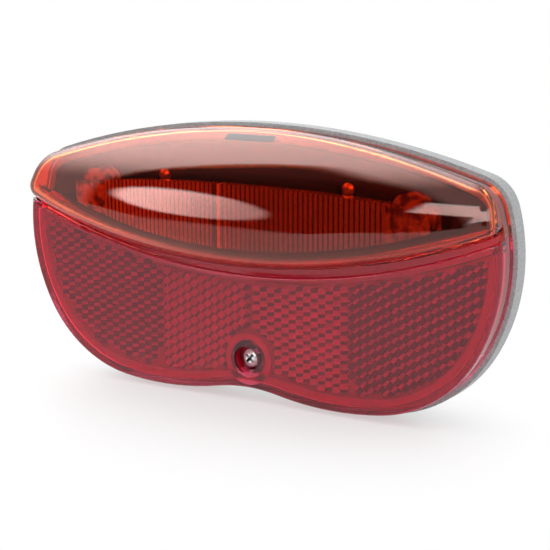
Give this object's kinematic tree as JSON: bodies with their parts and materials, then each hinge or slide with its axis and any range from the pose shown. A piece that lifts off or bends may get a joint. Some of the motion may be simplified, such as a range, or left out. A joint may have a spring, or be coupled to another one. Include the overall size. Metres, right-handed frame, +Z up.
{
  "type": "bicycle tail light",
  "caption": "Battery tail light for a bicycle carrier: red lens with a bulged window over a reflector plate, grey rear housing, studs on the back and a push button below.",
  "frame": {"origin": "point of the flat mounting face on the back, midway between the two studs", "axes": "+X along the lamp, +Y along the studs out of the back, +Z up; the light shines towards -Y"},
  "size_m": [0.1386, 0.05, 0.0697],
  "materials": {
    "housing_plastic": "spark-eroded grey ABS",
    "red_lens": "polished transparent red PMMA",
    "reflex_red": "transparent red reflector moulding with prisms",
    "reflex_back": "dark back cover",
    "seal_rubber": "soft black rubber",
    "tray_black": "black ABS",
    "clear_guide": "clear PMMA, fluted front",
    "board_green": "glass fibre board with green solder mask",
    "led_red": "clear red epoxy",
    "component_black": "moulded electronic parts",
    "screw_chrome": "chromium plated steel",
    "screw_zinc": "zinc plated steel",
    "cell_wrap": "plain printed wrap on a metal can",
    "contact_nickel": "nickel plated spring steel",
    "button_rubber": "black rubber",
    "switch_body": "black switch body",
    "plunger_white": "white acetal",
    "wire_insulation": "soft PVC insulation"
  },
  "bodies": {
    "housing": {"rear_housing": "housing_plastic", "rim_gasket": "seal_rubber", "inner_tray": "tray_black", "light_guide": "clear_guide", "circuit_board": "board_green", "leds": "led_red", "board_components": "component_black", "tray_screws": "screw_zinc", "boss_seal": "seal_rubber", "mount_studs": "screw_zinc", "battery_left": "cell_wrap", "battery_right": "cell_wrap", "contact_plate_left": "contact_nickel", "contact_plate_right": "contact_nickel", "contact_spring": "contact_nickel", "tact_switch": "switch_body", "switch_board": "board_green", "switch_wires": "wire_insulation", "battery_leads": "wire_insulation"},
    "lens_cover": {"front_lens": "red_lens", "reflex_panel": "reflex_red", "reflex_cover": "reflex_back"},
    "lens_screw": {"lens_screw": "screw_chrome"},
    "power_button": {"power_button": "button_rubber", "switch_plunger": "plunger_white"}
  },
  "joints": [
    {"name": "lens_removal", "type": "slide", "parent": "housing", "child": "lens_cover", "axis": [0, -1, 0], "range_m": [0, 0.045]},
    {"name": "screw_travel", "type": "slide", "parent": "lens_cover", "child": "lens_screw", "axis": [0, -1, 0], "range_m": [0, 0.012]},
    {"name": "button_press", "type": "slide", "parent": "housing", "child": "power_button", "axis": [0, 0, 1], "range_m": [0, 0.0006], "stiffness_N_per_m": 2500, "springref_m": -0.0004}
  ]
}
